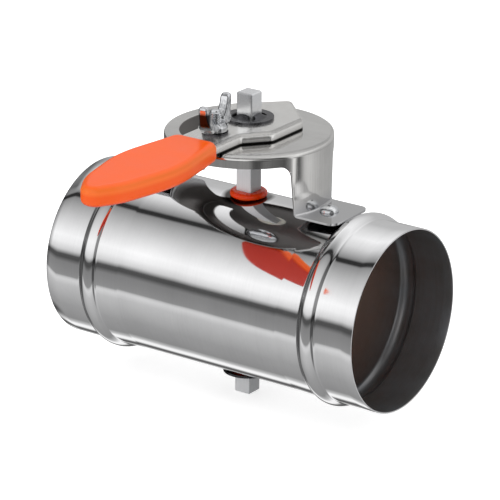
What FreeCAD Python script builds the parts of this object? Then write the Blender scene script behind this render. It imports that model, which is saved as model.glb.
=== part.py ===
import FreeCAD, Part
import math
import os

# Manual duct damper: a straight round tube with a spigot at each end, and a round blade
# inside it on a square shaft. A lever on a raised index plate turns the shaft, and a
# wing nut clamps the lever anywhere along the plate's arc slot.
# Millimetres. The origin is where the tube's axis crosses the shaft's axis. +X runs
# along the duct and +Z up the shaft. The blade is closed, with the lever towards -Y.

V = FreeCAD.Vector

# Tube, drawn from one piece of sheet
spigot_radius = 50.0
tube_length = 200.0
tube_wall = 0.8
body_step = 0.5
bead_inset = 28.4
bead_height = 2.6
bead_half_width = 5.2
bead_fillet = 1.6
band_length = 13.8

# Gaps that more than one piece keeps
running_gap = 0.08
thrust_gap = 0.1
sweep_gap = 0.3
slip_gap = 0.05

# Square shaft
shaft_side = 10.0
shaft_chamfer = 0.6
shaft_above_plate = 21.0
shaft_below_tube = 14.5

# Bracket: index plate, skirt, two legs and two feet, bent from one sheet
bracket_sheet = 1.2
plate_radius = 45.5
plate_height = 37.5
plate_bend = 0.8
skirt_depth = 7.5
leg_half_width_top = 19.4
leg_half_width_foot = 16.8
leg_fillet = 7.0
foot_lift = 0.2
foot_bend = 1.0
foot_corner = 5.0
plate_hole_radius = 9.0

# Arc slot in the index plate, for the clamp bolt
clamp_radius = 31.0
lever_travel = 90.0
slot_end_angle = 9.0
slot_inner_room = 0.4
slot_outer_room = 3.0
slot_corner = 2.0

# Self-tapping screws through the feet
screw_from_leg = 6.5
screw_radius = 2.4
screw_length = 9.5
screw_point = 3.2
screw_head_radius = 5.3
screw_head_height = 3.0
screw_head_rim = 0.8
recess_width = 1.1
recess_span = 5.4
recess_depth = 1.7
dome_knee = 0.72
dome_knee_rise = 0.55
dome_flat = 0.6

# Red silicone bushes, square inside and round outside
bush_neck_radius = 7.9
bush_neck_depth = 1.8
top_collar_radius = 10.1
top_collar_height = 3.0
bottom_collar_radius = 9.0
bottom_collar_height = 0.7

# Nylon spacer between the index plate and the lever
spacer_radius = 11.0
spacer_neck_drop = 0.5

# Lever: one pressed channel with a flat tang inside the grip
lever_sheet = 1.5
lever_height = 6.0
lever_bend = 0.7
head_half_width = 23.8
head_back = 16.5
head_front = 12.0
head_tip = 40.2
neck_half_width = 12.7
neck_taper = 13.5
lever_corner = 3.5
channel_in_grip = 14.0
tang_half_width = 9.0
tang_length = 58.0

# Grip moulded over the tang
grip_plate_gap = 0.8
grip_over_lever = 1.8
grip_depth = 11.1
grip_top_radius = 3.8
grip_bottom_radius = 3.4

# Corners of the grip's outline before rounding: half widths, and distances along it
mouth_half_width = 13.6
mouth_radius = 5.5
belly_half_width = 21.4
belly_from_mouth = 45.0
belly_radius = 75.0
shoulder_half_width = 13.2
shoulder_from_point = 21.6
shoulder_radius = 45.0
point_from_mouth = 104.6
tip_radius = 7.5
grip_lean = 3.0

# Push-on spring washers that hold the shaft endways
push_washer_radius = 13.3
push_washer_sheet = 1.3
push_washer_root = 9.4
push_washer_rise = 2.5
push_washer_relief = 2.0

# Clamp bolt, washer and wing nut
bolt_radius = 3.35
bolt_square = 6.8
bolt_head_radius = 10.0
bolt_head_height = 3.0
bolt_head_rim = 1.0
bolt_above_lever = 12.8
clamp_washer_radius = 7.0
clamp_washer_sheet = 1.0
wing_hub_radius = 6.8
wing_hub_top_radius = 4.9
wing_hub_height = 8.0
wing_nut_height = 17.0
wing_foot = 10.0
wing_reach = 16.2
wing_width = 5.6
wing_thickness = 5.2
wing_angle = 11.0

# Blade: two pressed plates with silicone between them, clamped round the shaft
blade_sheet = 1.0
blade_bend = 0.4
seal_thickness = 2.0
seal_lip = 3.0
seal_gap = 0.35
rivet_radius = 1.6
rivet_head_radius = 3.2
rivet_head_height = 1.2
rivet_across = 28.0
rivet_up = 22.0
blade_bolt_radius = 2.5
blade_bolt_up = 18.0
blade_hex_flats = 8.0
blade_head_height = 3.5
blade_nut_height = 4.0
blade_bolt_proud = 1.0

# Levels and places worked out from the sizes above
tube_half = tube_length / 2
body_radius = spigot_radius - body_step
bore_radius = body_radius - tube_wall
bead_x = tube_half - bead_inset
bead_radius = (bead_half_width ** 2 + bead_height ** 2) / (2 * bead_height)
bead_centre = spigot_radius + bead_height - bead_radius
bead_run = math.sqrt((bead_radius + bead_fillet) ** 2 - (spigot_radius + bead_fillet - bead_centre) ** 2)
plate_top = body_radius + plate_height
plate_under = plate_top - bracket_sheet
plate_edge_radius = plate_bend + bracket_sheet
skirt_bottom = plate_top - skirt_depth
foot_bottom = spigot_radius + foot_lift
foot_top = foot_bottom + bracket_sheet
foot_reach = bead_x - bead_half_width
screw_x = plate_radius + screw_from_leg
lever_top = plate_top + lever_height
lever_under = lever_top - lever_sheet
lever_edge_radius = lever_bend + lever_sheet
lever_bottom = plate_top + sweep_gap
shaft_top = plate_top + shaft_above_plate
shaft_bottom = -body_radius - shaft_below_tube
collar_seat = body_radius + sweep_gap
bottom_washer_z = -(collar_seat + bottom_collar_height)
grip_start = plate_radius + grip_plate_gap
grip_top = lever_top + grip_over_lever
grip_bottom = grip_top - grip_depth
square_hole = shaft_side + 2 * slip_gap
washer_top = lever_top + clamp_washer_sheet
wing_base = washer_top + thrust_gap
seal_radius = bore_radius - seal_gap
blade_radius = seal_radius - seal_lip
blade_face = seal_thickness / 2 + blade_sheet
hat_face = shaft_side / 2 + slip_gap + blade_sheet
slot_inner = clamp_radius - bolt_square / 2 - slot_inner_room
slot_outer = clamp_radius + bolt_square / 2 + slot_outer_room


def arc_edge(centre, radius, start, end):
    """Arc in the XZ plane, with its angles in degrees from +X towards +Z."""
    points = []
    for angle in (start, (start + end) / 2, end):
        turn = math.radians(angle)
        points.append(V(centre[0] + radius * math.cos(turn), 0, centre[1] + radius * math.sin(turn)))
    return Part.Arc(*points).toShape()


def rounded_face(points, radii):
    """Flat face with straight sides, and an arc of its own radius at each corner."""
    edges = []
    starts = []
    ends = []
    count = len(points)
    for index, corner in enumerate(points):
        to_last = (points[index - 1] - corner).normalize()
        to_next = (points[(index + 1) % count] - corner).normalize()
        half_angle = to_last.getAngle(to_next) / 2
        reach = radii[index] / math.tan(half_angle)
        starts.append(corner + to_last * reach)
        ends.append(corner + to_next * reach)
        if radii[index] > 0:
            inward = (to_last + to_next).normalize()
            middle = corner + inward * (radii[index] / math.sin(half_angle) - radii[index])
            edges.append(Part.Arc(starts[-1], middle, ends[-1]).toShape())
    for index in range(count):
        after = (index + 1) % count
        if ends[index].distanceToPoint(starts[after]) > 1e-6:
            edges.append(Part.LineSegment(ends[index], starts[after]).toShape())
    return Part.Face(Part.Wire(Part.__sortEdges__(edges)))


def upright_cylinder(radius, low, high, x=0.0, y=0.0):
    return Part.makeCylinder(radius, high - low, V(x, y, low))


def square_bar(side, low, high, x=0.0, y=0.0):
    return Part.makeBox(side, side, high - low, V(x - side / 2, y - side / 2, low))


def turned(profile):
    """Solid of revolution about the shaft's axis."""
    return profile.revolve(V(0, 0, 0), V(0, 0, 1), 360)


def half_tube_profile(inset):
    """Line of the tube's skin for x above 0, moved in by the inset."""
    line_radius = spigot_radius - inset
    low_x = bead_x - bead_run
    high_x = bead_x + bead_run
    fillet_centre_z = spigot_radius + bead_fillet
    tangent = math.degrees(math.atan2(fillet_centre_z - bead_centre, bead_run))
    middle = V(0, 0, body_radius - inset)
    band = V(low_x - band_length, 0, body_radius - inset)
    return [
        Part.LineSegment(middle, band).toShape(),
        Part.LineSegment(band, V(low_x, 0, line_radius)).toShape(),
        arc_edge((low_x, fillet_centre_z), bead_fillet + inset, 270, 360 - tangent),
        arc_edge((bead_x, bead_centre), bead_radius - inset, 180 - tangent, tangent),
        arc_edge((high_x, fillet_centre_z), bead_fillet + inset, 180 + tangent, 270),
        Part.LineSegment(V(high_x, 0, line_radius), V(tube_half, 0, line_radius)).toShape(),
    ]


def duct_tube():
    outer = half_tube_profile(0.0)
    inner = half_tube_profile(tube_wall)
    rim = V(tube_half, 0, spigot_radius)
    end = Part.LineSegment(rim, rim - V(0, 0, tube_wall)).toShape()
    middle = Part.LineSegment(V(0, 0, body_radius), V(0, 0, bore_radius)).toShape()
    wire = Part.Wire(Part.__sortEdges__(outer + inner + [end, middle]))
    half = Part.Face(wire).revolve(V(0, 0, 0), V(1, 0, 0), 360)
    tube = half.fuse(half.mirror(V(0, 0, 0), V(1, 0, 0))).removeSplitter()
    hole_radius = bush_neck_radius + running_gap
    tube = tube.cut(upright_cylinder(hole_radius, -spigot_radius, spigot_radius))
    for x in (-screw_x, screw_x):
        tube = tube.cut(upright_cylinder(screw_radius, 0, spigot_radius, x))
    return tube


def arc_slot():
    """Cutter for the slot, from beyond the closed place to beyond the open one."""
    low = math.radians(270 - lever_travel - slot_end_angle)
    high = math.radians(270 + slot_end_angle)
    middle = (low + high) / 2
    z = plate_under - 1

    def point(radius, turn):
        return V(radius * math.cos(turn), radius * math.sin(turn), z)

    edges = [
        Part.Arc(point(slot_outer, low), point(slot_outer, middle), point(slot_outer, high)).toShape(),
        Part.LineSegment(point(slot_outer, high), point(slot_inner, high)).toShape(),
        Part.Arc(point(slot_inner, high), point(slot_inner, middle), point(slot_inner, low)).toShape(),
        Part.LineSegment(point(slot_inner, low), point(slot_outer, low)).toShape(),
    ]
    cutter = Part.Face(Part.Wire(edges)).extrude(V(0, 0, bracket_sheet + 2))
    return cutter.makeFillet(slot_corner, upright_edges(cutter))


def upright_edges(shape):
    found = []
    for edge in shape.Edges:
        box = edge.BoundBox
        if box.XLength < 1e-6 and box.YLength < 1e-6:
            found.append(edge)
    return found


def foot_corners(sheet):
    """The short edges through the sheet at the four outer corners of the feet."""
    found = []
    for edge in sheet.Edges:
        box = edge.BoundBox
        if box.ZMax < foot_top + 0.01 and box.ZLength > 0.9 * bracket_sheet and abs(box.Center.x) > screw_x:
            found.append(edge)
    return found


def bracket():
    under = plate_radius - bracket_sheet
    rough_reach = foot_reach + leg_half_width_foot
    outline = [
        V(0, 0, plate_top), V(plate_radius, 0, plate_top), V(plate_radius, 0, foot_top),
        V(rough_reach, 0, foot_top), V(rough_reach, 0, foot_bottom), V(under, 0, foot_bottom),
        V(under, 0, plate_under), V(0, 0, plate_under),
    ]
    radii = [0, plate_edge_radius, foot_bend, 0, 0, foot_bend + bracket_sheet, plate_bend, 0]
    sheet = turned(rounded_face(outline, radii))
    far = rough_reach + 1
    low = foot_bottom - 1
    for side in (-1, 1):
        window = rounded_face(
            [V(-far, side * leg_half_width_foot, low), V(-far, side * leg_half_width_top, skirt_bottom),
             V(-far, side * far, skirt_bottom), V(-far, side * far, low)],
            [0, leg_fillet, 0, 0])
        sheet = sheet.cut(window.extrude(V(2 * far, 0, 0)))
        beyond = Part.makeBox(far, 2 * far, plate_top, V(side * foot_reach, -far, low))
        if side < 0:
            beyond.translate(V(-far, 0, 0))
        sheet = sheet.cut(beyond)
    sheet = sheet.makeFillet(foot_corner, foot_corners(sheet))
    sheet = sheet.cut(upright_cylinder(plate_hole_radius, plate_under - 1, plate_top + 1))
    sheet = sheet.cut(arc_slot())
    for x in (-screw_x, screw_x):
        sheet = sheet.cut(upright_cylinder(screw_radius + slip_gap, foot_bottom - 1, foot_top + 1, x))
    return sheet


def domed_disc(radius, seat, rim, crown):
    """Disc about the shaft's axis with one flat side, an upright rim and one domed side."""
    knee = V(radius * dome_knee, 0, rim + (crown - rim) * dome_knee_rise)
    outline = [
        Part.LineSegment(V(0, 0, seat), V(radius, 0, seat)).toShape(),
        Part.LineSegment(V(radius, 0, seat), V(radius, 0, rim)).toShape(),
        Part.Arc(V(radius, 0, rim), knee, V(dome_flat, 0, crown)).toShape(),
        Part.LineSegment(V(dome_flat, 0, crown), V(0, 0, crown)).toShape(),
        Part.LineSegment(V(0, 0, crown), V(0, 0, seat)).toShape(),
    ]
    return turned(Part.Face(Part.Wire(outline)))


def bracket_screw(x):
    """Pan head self-tapping screw with a cross recess."""
    head_top = foot_top + screw_head_height
    tip = foot_top - screw_length
    screw = domed_disc(screw_head_radius, foot_top, foot_top + screw_head_rim, head_top)
    screw = screw.fuse(upright_cylinder(screw_radius, tip + screw_point, foot_top))
    screw = screw.fuse(Part.makeCone(0, screw_radius, screw_point, V(0, 0, tip)))
    for span, width in ((recess_span, recess_width), (recess_width, recess_span)):
        corner = V(-span / 2, -width / 2, head_top - recess_depth)
        screw = screw.cut(Part.makeBox(span, width, recess_depth + 1, corner))
    screw.translate(V(x, 0, 0))
    return screw.removeSplitter()


def shaft():
    bar = square_bar(shaft_side, shaft_bottom, shaft_top)
    bar = bar.makeChamfer(shaft_chamfer, bar.Edges)
    for z in (-blade_bolt_up, blade_bolt_up):
        hole_radius = blade_bolt_radius + slip_gap
        bar = bar.cut(Part.makeCylinder(hole_radius, 2 * shaft_side, V(-shaft_side, 0, z), V(1, 0, 0)))
    return bar


def top_seal_bush():
    """Bulged collar above the tube, and a neck down through its wall."""
    rim = top_collar_radius
    top = collar_seat + top_collar_height
    neck = upright_cylinder(bush_neck_radius, bore_radius - bush_neck_depth, collar_seat)
    lower = V(rim * 0.97, 0, collar_seat)
    waist = V(rim, 0, collar_seat + top_collar_height * 0.2)
    upper = V(rim * 0.8, 0, top)
    outline = [
        Part.LineSegment(V(0, 0, collar_seat), lower).toShape(),
        Part.Arc(lower, waist, upper).toShape(),
        Part.LineSegment(upper, V(0, 0, top)).toShape(),
        Part.LineSegment(V(0, 0, top), V(0, 0, collar_seat)).toShape(),
    ]
    bush = neck.fuse(turned(Part.Face(Part.Wire(outline))))
    return bush.cut(square_bar(square_hole, 0, top + 1))


def bottom_bush():
    neck = upright_cylinder(bush_neck_radius, -collar_seat, bush_neck_depth - bore_radius)
    collar = upright_cylinder(bottom_collar_radius, bottom_washer_z, -collar_seat)
    return neck.fuse(collar).cut(square_bar(square_hole, bottom_washer_z - 1, 0))


def lever_spacer():
    seat = plate_top + thrust_gap
    neck = upright_cylinder(plate_hole_radius - running_gap, plate_under - spacer_neck_drop, seat)
    collar = upright_cylinder(spacer_radius, seat, lever_under)
    return neck.fuse(collar).cut(square_bar(square_hole, plate_under - 2, lever_top))


def lever_outline(z, inset=0.0):
    """Outline of the pressed channel: broad head, pointed back and narrow neck."""
    side = head_half_width - inset
    neck = neck_half_width - inset
    tip = head_tip - 1.4 * inset
    end = -(grip_start + channel_in_grip) + inset
    shoulder = -head_front - neck_taper
    half = [(side, head_back), (side, -head_front), (neck, shoulder), (neck, end)]
    right = [V(x, y, z) for x, y in half]
    left = [V(-x, y, z) for x, y in reversed(half)]
    corner = lever_corner - inset
    half_radii = [corner + 2, corner + 2, lever_corner + inset, corner]
    return rounded_face([V(0, tip, z)] + right + left, [corner] + half_radii + half_radii[::-1])


def level_edges(shape, z):
    found = []
    for edge in shape.Edges:
        box = edge.BoundBox
        if abs(box.ZMin - z) < 1e-4 and abs(box.ZMax - z) < 1e-4:
            found.append(edge)
    return found


def lever():
    skin = lever_outline(lever_bottom).extrude(V(0, 0, lever_top - lever_bottom))
    skin = skin.makeFillet(lever_edge_radius, level_edges(skin, lever_top))
    hollow = lever_outline(lever_bottom, lever_sheet).extrude(V(0, 0, lever_under - lever_bottom))
    hollow = hollow.makeFillet(lever_bend, level_edges(hollow, lever_under))
    tang_start = -(grip_start + channel_in_grip) + lever_edge_radius
    tang = Part.makeBox(2 * tang_half_width, tang_length, lever_sheet,
                        V(-tang_half_width, tang_start - tang_length, lever_under))
    plate = skin.cut(hollow).fuse(tang)
    plate = plate.cut(square_bar(square_hole, lever_under - 1, lever_top + 1))
    bolt_hole = bolt_square + 2 * slip_gap
    plate = plate.cut(square_bar(bolt_hole, lever_under - 1, lever_top + 1, 0, -clamp_radius))
    return plate.removeSplitter()


def grip(lever_solid):
    """Leaf-shaped grip, moulded round the tang and the end of the channel."""
    half = [
        (mouth_half_width, 0, mouth_radius),
        (belly_half_width, belly_from_mouth, belly_radius),
        (shoulder_half_width, point_from_mouth - shoulder_from_point, shoulder_radius),
    ]
    stations = half + [(0, point_from_mouth, tip_radius)]
    stations += [(-width, run, radius) for width, run, radius in reversed(half)]
    points = []
    radii = []
    for width, run, radius in stations:
        lean = grip_lean * run / point_from_mouth
        points.append(V(width + lean, -(grip_start + run), grip_bottom))
        radii.append(radius)
    body = rounded_face(points, radii).extrude(V(0, 0, grip_depth))
    body = body.makeFillet(grip_bottom_radius, level_edges(body, grip_bottom))
    body = body.makeFillet(grip_top_radius, level_edges(body, grip_top))
    return body.cut(lever_solid)


def push_washer(seat, direction):
    """Flat rim, and four teeth that rise to bite the shaft's flats."""
    rim = push_washer_radius
    root = push_washer_root
    sheet = push_washer_sheet
    inner = shaft_side / 2 - 1
    outline = [
        V(rim, 0, 0), V(rim, 0, sheet), V(root, 0, sheet),
        V(inner, 0, sheet + push_washer_rise), V(inner, 0, push_washer_rise), V(root, 0, 0),
    ]
    washer = turned(Part.Face(Part.makePolygon(outline + [outline[0]])))
    washer = washer.cut(square_bar(square_hole, -1, push_washer_rise + 2))
    corner = shaft_side / 2 + 0.3
    for x in (-corner, corner):
        for y in (-corner, corner):
            washer = washer.cut(upright_cylinder(push_washer_relief, -1, push_washer_rise + 2, x, y))
    if direction < 0:
        washer = washer.mirror(V(0, 0, 0), V(0, 0, 1))
    washer.translate(V(0, 0, seat))
    return washer


def clamp_bolt():
    """Mushroom head under the plate, square through slot and lever, then thread."""
    head_top = plate_under - sweep_gap
    head_low = head_top - bolt_head_height
    bolt = domed_disc(bolt_head_radius, head_top, head_top - bolt_head_rim, head_low)
    bolt = bolt.fuse(square_bar(bolt_square, head_top - bolt_head_rim, lever_top - slip_gap))
    rod = upright_cylinder(bolt_radius, head_top, lever_top + bolt_above_lever)
    rod = rod.makeChamfer(0.6, level_edges(rod, lever_top + bolt_above_lever))
    bolt = bolt.fuse(rod).removeSplitter()
    bolt.translate(V(0, -clamp_radius, 0))
    return bolt


def clamp_washer():
    ring = upright_cylinder(clamp_washer_radius, lever_top, washer_top, 0, -clamp_radius)
    return ring.cut(upright_cylinder(bolt_radius + 0.25, lever_top - 1, washer_top + 1, 0, -clamp_radius))


def wing_nut():
    """Cone hub with two upright wings, turned a little off the lever's line."""
    hub = Part.makeCone(wing_hub_radius, wing_hub_top_radius, wing_hub_height, V(0, 0, 0))
    inside = wing_reach - wing_width
    outline = [
        V(0, 1.0, 0.8), V(0, wing_foot, 0.8), V(0, wing_reach - 1.4, 7.0),
        V(0, wing_reach, wing_nut_height), V(0, inside, wing_nut_height), V(0, wing_hub_top_radius, 7.6),
        V(0, 1.0, 7.6),
    ]
    wing = rounded_face(outline, [0, 2.5, 3.5, 1.6, 1.6, 2.5, 0]).extrude(V(wing_thickness, 0, 0))
    wing.translate(V(-wing_thickness / 2, 0, 0))
    wing = wing.makeFillet(0.9, [edge for edge in wing.Edges if edge.BoundBox.XLength < 1e-6
                                 and edge.BoundBox.YMax > wing_hub_radius])
    other = wing.mirror(V(0, 0, 0), V(0, 1, 0))
    nut = hub.fuse([wing, other]).removeSplitter()
    nut = nut.cut(upright_cylinder(bolt_radius + slip_gap, -1, wing_nut_height + 1))
    nut.rotate(V(0, 0, 0), V(0, 0, 1), wing_angle)
    nut.translate(V(0, -clamp_radius, wing_base))
    return nut


def rivet_places():
    return [(y, z) for z in (-rivet_up, rivet_up) for y in (-rivet_across, rivet_across)]


def cross_hole(radius, y, z):
    """Cutter along the duct through the whole blade."""
    return Part.makeCylinder(radius, 6 * hat_face, V(-3 * hat_face, y, z), V(1, 0, 0))


def blade_plate(side):
    """Round plate with a straight channel pressed in it, which grips half the shaft."""
    snug = shaft_side / 2 + slip_gap
    flat = seal_thickness / 2
    far = blade_radius + 2
    low = -far
    inner = [(-far, flat), (-snug, flat), (-snug, snug), (snug, snug), (snug, flat), (far, flat)]
    outer = [(far, blade_face), (snug + blade_sheet, blade_face), (snug + blade_sheet, hat_face),
             (-snug - blade_sheet, hat_face), (-snug - blade_sheet, blade_face), (-far, blade_face)]
    tight = blade_bend
    wide = blade_bend + blade_sheet
    radii = [0, wide, tight, tight, wide, 0, 0, tight, wide, wide, tight, 0]
    section = rounded_face([V(side * x, y, low) for y, x in inner + outer], radii)
    sheet = section.extrude(V(0, 0, 2 * far))
    disc = Part.makeCylinder(blade_radius, 2 * far, V(-far, 0, 0), V(1, 0, 0))
    sheet = sheet.common(disc)
    for y, z in rivet_places():
        sheet = sheet.cut(cross_hole(rivet_radius + slip_gap, y, z))
    for z in (-blade_bolt_up, blade_bolt_up):
        sheet = sheet.cut(cross_hole(blade_bolt_radius + slip_gap, 0, z))
    return sheet


def blade_seal(side):
    """Half-moon of silicone on one side of the shaft, reaching past the plates."""
    disc = Part.makeCylinder(seal_radius, seal_thickness, V(-seal_thickness / 2, 0, 0), V(1, 0, 0))
    edge = bush_neck_radius + sweep_gap
    start = edge if side > 0 else -edge - seal_radius
    moon = disc.common(Part.makeBox(seal_thickness + 2, seal_radius, 2 * seal_radius,
                                    V(-seal_thickness / 2 - 1, start, -seal_radius)))
    for y, z in rivet_places():
        if y * side > 0:
            moon = moon.cut(cross_hole(rivet_radius + slip_gap, y, z))
    return moon


def blade_rivet(y, z):
    shank = Part.makeCylinder(rivet_radius, 2 * blade_face, V(-blade_face, y, z), V(1, 0, 0))
    rivet = shank
    ball = (rivet_head_radius ** 2 + rivet_head_height ** 2) / (2 * rivet_head_height)
    for side in (-1, 1):
        centre = V(side * (blade_face + rivet_head_height - ball), y, z)
        slab_start = blade_face if side > 0 else -blade_face - rivet_head_height
        slab = Part.makeCylinder(rivet_head_radius, rivet_head_height, V(slab_start, y, z), V(1, 0, 0))
        rivet = rivet.fuse(Part.makeSphere(ball, centre).common(slab))
    return rivet.removeSplitter()


def hex_prism(flats, start, height):
    """Hexagon across the given flats, standing along +X from the start."""
    radius = flats / math.sqrt(3)
    points = []
    for number in range(7):
        turn = math.radians(60 * number)
        points.append(V(start, radius * math.cos(turn), radius * math.sin(turn)))
    return Part.Face(Part.makePolygon(points)).extrude(V(height, 0, 0))


def blade_bolt(z):
    low = -hat_face - blade_nut_height - blade_bolt_proud
    bolt = Part.makeCylinder(blade_bolt_radius, hat_face - low, V(low, 0, 0), V(1, 0, 0))
    bolt = bolt.fuse(hex_prism(blade_hex_flats, hat_face, blade_head_height)).removeSplitter()
    bolt.translate(V(0, 0, z))
    return bolt


def blade_nut(z):
    nut = hex_prism(blade_hex_flats, -hat_face - blade_nut_height, blade_nut_height)
    nut = nut.cut(cross_hole(blade_bolt_radius + slip_gap, 0, 0))
    nut.translate(V(0, 0, z))
    return nut


def build():
    parts = {
        "duct_tube": duct_tube(),
        "bracket": bracket(),
        "bracket_screw_left": bracket_screw(-screw_x),
        "bracket_screw_right": bracket_screw(screw_x),
        "shaft": shaft(),
        "top_seal_bush": top_seal_bush(),
        "bottom_seal_bush": bottom_bush(),
        "lever_spacer": lever_spacer(),
        "lever": lever(),
        "push_washer_top": push_washer(lever_top, 1),
        "push_washer_bottom": push_washer(bottom_washer_z, -1),
        "clamp_bolt": clamp_bolt(),
        "clamp_washer": clamp_washer(),
        "wing_nut": wing_nut(),
        "blade_plate_front": blade_plate(1),
        "blade_plate_back": blade_plate(-1),
        "blade_seal_near": blade_seal(-1),
        "blade_seal_far": blade_seal(1),
    }
    parts["grip"] = grip(parts["lever"])
    for number, (y, z) in enumerate(rivet_places(), 1):
        parts["blade_rivet_%d" % number] = blade_rivet(y, z)
    for name, z in (("lower", -blade_bolt_up), ("upper", blade_bolt_up)):
        parts["blade_bolt_" + name] = blade_bolt(z)
        parts["blade_nut_" + name] = blade_nut(z)
    return parts


os.makedirs("parts", exist_ok=True)
for name, shape in build().items():
    shape.exportStep("parts/%s.step" % name)
    print("%-22s solids %d valid %s volume %.1f" % (name, len(shape.Solids), shape.isValid(), shape.Volume))
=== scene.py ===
import bpy
import math
from mathutils import Matrix, Vector


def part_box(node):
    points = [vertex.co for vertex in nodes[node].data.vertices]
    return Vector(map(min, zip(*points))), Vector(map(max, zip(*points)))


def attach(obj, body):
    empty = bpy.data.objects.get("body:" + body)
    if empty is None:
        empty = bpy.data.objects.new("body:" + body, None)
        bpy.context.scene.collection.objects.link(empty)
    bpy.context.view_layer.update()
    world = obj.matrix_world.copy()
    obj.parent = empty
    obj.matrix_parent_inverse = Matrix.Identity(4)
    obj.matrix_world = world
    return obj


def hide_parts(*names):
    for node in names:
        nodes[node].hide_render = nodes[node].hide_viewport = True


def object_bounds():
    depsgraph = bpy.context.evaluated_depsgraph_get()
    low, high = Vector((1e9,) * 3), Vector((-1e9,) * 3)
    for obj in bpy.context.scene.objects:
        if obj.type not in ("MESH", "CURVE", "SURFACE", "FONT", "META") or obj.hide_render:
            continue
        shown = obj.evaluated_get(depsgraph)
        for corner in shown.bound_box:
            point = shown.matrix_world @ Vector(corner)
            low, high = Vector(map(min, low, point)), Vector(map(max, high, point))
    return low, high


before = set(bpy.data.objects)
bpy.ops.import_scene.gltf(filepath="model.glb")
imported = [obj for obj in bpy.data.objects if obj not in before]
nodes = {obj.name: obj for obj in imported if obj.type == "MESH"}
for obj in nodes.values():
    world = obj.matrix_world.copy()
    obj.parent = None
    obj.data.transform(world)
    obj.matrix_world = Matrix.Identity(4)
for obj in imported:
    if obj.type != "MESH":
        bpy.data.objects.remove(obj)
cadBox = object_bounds()
mm = 0.001
weld = 0.002 * mm              # points of a spun line that are closer than this are made one
print("frame loaded:", len(nodes), "nodes")


# Small tools that every piece uses

def linearColor(hexText):
    # a colour as a screen states it, in the linear light that a shader takes
    levels = []
    for place in (0, 2, 4):
        level = int(hexText[place:place + 2], 16) / 255
        levels.append(level / 12.92 if level <= 0.04045 else ((level + 0.055) / 1.055) ** 2.4)
    return (*levels, 1.0)


def addNode(tree, kind, settings=None, links=None):
    # a setting is a socket's value where the node has that socket, and a property otherwise
    node = tree.nodes.new(kind)
    for key, value in (settings or {}).items():
        if isinstance(key, int) or key in node.inputs:
            node.inputs[key].default_value = value
        else:
            setattr(node, key, value)
    for key, source in (links or {}).items():
        tree.links.new(source, node.inputs[key])
    return node


def clearSelection():
    if bpy.context.mode != "OBJECT":
        bpy.ops.object.mode_set(mode="OBJECT")
    bpy.ops.object.select_all(action="DESELECT")


def pick(piece):
    clearSelection()
    piece.select_set(True)
    bpy.context.view_layer.objects.active = piece


def namePiece(name):
    piece = bpy.context.object
    piece.name = name
    piece.data.name = name
    return piece


def applyPlace(piece):
    pick(piece)
    bpy.ops.object.transform_apply(location=True, rotation=True, scale=True)


def shapeBy(piece, kind, settings):
    pick(piece)
    modifier = piece.modifiers.new(kind.title(), kind)
    for key, value in settings.items():
        setattr(modifier, key, value)
    bpy.ops.object.modifier_apply(modifier=modifier.name)


def cutAway(piece, cutter):
    shapeBy(piece, "BOOLEAN", {"operation": "DIFFERENCE", "solver": "EXACT", "object": cutter})
    bpy.data.objects.remove(cutter)


def joinPieces(first, *others):
    pick(first)
    for other in others:
        other.select_set(True)
    bpy.ops.object.join()
    return first


def drawLine(name, points):
    # one vertex, drawn on from point to point
    clearSelection()
    bpy.ops.mesh.primitive_plane_add(size=mm, location=points[0])
    line = namePiece(name)
    bpy.ops.object.mode_set(mode="EDIT")
    bpy.ops.mesh.merge(type="CENTER")
    for start, end in zip(points, points[1:]):
        bpy.ops.mesh.extrude_region_move(TRANSFORM_OT_translate={"value": Vector(end) - Vector(start)})
    bpy.ops.object.mode_set(mode="OBJECT")
    applyPlace(line)
    return line


def spinLine(line, axis, centre, steps):
    pick(line)
    bpy.ops.object.mode_set(mode="EDIT")
    bpy.ops.mesh.select_all(action="SELECT")
    bpy.ops.mesh.spin(steps=steps, angle=2 * math.pi, center=centre, axis=axis)
    bpy.ops.mesh.select_all(action="SELECT")
    bpy.ops.mesh.remove_doubles(threshold=weld)
    bpy.ops.mesh.normals_make_consistent(inside=False)
    bpy.ops.object.mode_set(mode="OBJECT")
    return line


def arcPoints(centreX, centreZ, radius, start, end, count):
    points = []
    for step in range(count + 1):
        turn = math.radians(start + (end - start) * step / count)
        points.append((centreX + radius * math.cos(turn), 0, centreZ + radius * math.sin(turn)))
    return points


def smoothPiece(piece, degrees):
    pick(piece)
    bpy.ops.object.shade_smooth_by_angle(angle=math.radians(degrees))


def finishPiece(piece, body, slot, materials, *replaced):
    # the piece takes its materials, rides on its body and stands for the CAD nodes named
    if not piece.data.materials:
        for material in materials:
            piece.data.materials.append(material)
    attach(piece, body)
    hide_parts(*replaced)


def dress(material, *names):
    for name in names:
        piece = nodes[name]
        for place in range(max(1, len(piece.material_slots))):
            if place < len(piece.material_slots):
                piece.material_slots[place].material = material
            else:
                piece.data.materials.append(material)


# Materials: each is named for what the real one is and how its surface was made

noise = {
    "roughness": 0.55,
    "middle": {"From Min": 0.3, "From Max": 0.7},     # most of a noise lies between these
    "lineDetail": 4.0,
    "cloudDetail": 3.0,
    "textureDetail": 2.0,
    "waveDetail": 1.0,
}


def startMaterial(name, settings):
    material = bpy.data.materials.new(name)
    material.use_nodes = True
    tree = material.node_tree
    tree.nodes.clear()
    shader = addNode(tree, "ShaderNodeBsdfPrincipled", settings)
    addNode(tree, "ShaderNodeOutputMaterial", links={"Surface": shader.outputs["BSDF"]})
    place = addNode(tree, "ShaderNodeTexCoord").outputs["Object"]
    return material, tree, shader, place


def grainOf(tree, place, sizes, detail):
    # noise whose features are the given sizes in metres along X, Y and Z
    scaled = addNode(tree, "ShaderNodeMapping", {"Scale": [1 / size for size in sizes]},
                     {"Vector": place})
    return addNode(tree, "ShaderNodeTexNoise",
                   {"Scale": 1.0, "Detail": detail, "Roughness": noise["roughness"]},
                   {"Vector": scaled.outputs["Vector"]}).outputs["Fac"]


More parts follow.
